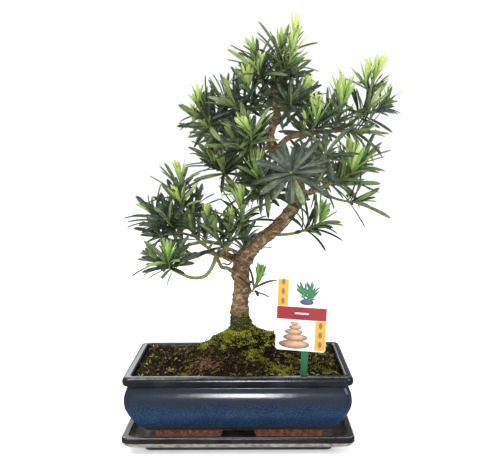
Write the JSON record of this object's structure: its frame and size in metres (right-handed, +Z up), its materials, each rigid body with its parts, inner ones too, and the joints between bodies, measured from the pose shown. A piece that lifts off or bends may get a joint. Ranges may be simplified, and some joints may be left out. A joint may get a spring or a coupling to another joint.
{
  "type": "buddhist pine bonsai in a glazed pot",
  "caption": "Potted bonsai with a curved trunk, strap-shaped dark leaves and pale new growth, in a glazed oblong pot with soil, moss and a plant label, standing on its glazed saucer.",
  "frame": {"origin": "centre of the saucer's flat underside, on the surface that it stands on", "axes": "+Z up the tree, +X along the pot's length to the right as seen from the front, -Y towards the front, where the label stands"},
  "size_m": [0.3335, 0.2222, 0.4909],
  "materials": {
    "saucer_glaze": "gloss",
    "pot_glaze": "gloss",
    "drain_screen": "matte",
    "soil": "matte",
    "moss": "matte",
    "label_card": "satin",
    "label_stake": "gloss",
    "bark": "matte",
    "mature_leaf": "satin",
    "new_leaf": "satin"
  },
  "bodies": {
    "root": {"saucer": "saucer_glaze", "pot": "pot_glaze", "drain_screen_left": "drain_screen", "drain_screen_right": "drain_screen", "soil": "soil", "moss": "moss", "label_card": "label_card", "label_stake": "label_stake", "trunk_and_branches": "bark", "leafy_stem_apex": "mature_leaf", "leafy_stem_apex_left": "mature_leaf", "leafy_stem_apex_right": "mature_leaf", "leafy_stem_back_left": "mature_leaf", "leafy_stem_back_right": "mature_leaf", "leafy_stem_back_top": "mature_leaf", "leafy_stem_crown_back": "mature_leaf", "leafy_stem_crown_front": "mature_leaf", "leafy_stem_crown_left": "mature_leaf", "leafy_stem_drooping": "mature_leaf", "leafy_stem_drooping_right": "mature_leaf", "leafy_stem_far_right": "mature_leaf", "leafy_stem_foot_sprig": "mature_leaf", "leafy_stem_fork": "mature_leaf", "leafy_stem_inner_left": "mature_leaf", "leafy_stem_left_front": "mature_leaf", "leafy_stem_left_tall": "mature_leaf", "leafy_stem_low_right": "mature_leaf", "leafy_stem_lower_right": "mature_leaf", "leafy_stem_middle_back": "mature_leaf", "leafy_stem_middle_front": "mature_leaf", "leafy_stem_middle_left": "mature_leaf", "leafy_stem_right_back": "mature_leaf", "leafy_stem_right_bough": "mature_leaf", "leafy_stem_right_inner": "mature_leaf", "leafy_stem_right_middle": "mature_leaf", "leafy_stem_rosette": "mature_leaf", "leafy_stem_second_rosette": "mature_leaf", "leafy_stem_upper_left": "mature_leaf", "new_growth_apex": "new_leaf", "new_growth_apex_left": "new_leaf", "new_growth_apex_right": "new_leaf", "new_growth_back_right": "new_leaf", "new_growth_back_top": "new_leaf", "new_growth_crown_front_1": "new_leaf", "new_growth_crown_left": "new_leaf", "new_growth_drooping_1": "new_leaf", "new_growth_far_right": "new_leaf", "new_growth_far_right_1": "new_leaf", "new_growth_foot_sprig": "new_leaf", "new_growth_inner_left": "new_leaf", "new_growth_left_tall": "new_leaf", "new_growth_left_tall_2": "new_leaf", "new_growth_low_right": "new_leaf", "new_growth_lower_right": "new_leaf", "new_growth_middle_front": "new_leaf", "new_growth_right_inner": "new_leaf", "new_growth_right_middle": "new_leaf", "new_growth_upper_left": "new_leaf"}
  },
  "joints": []
}
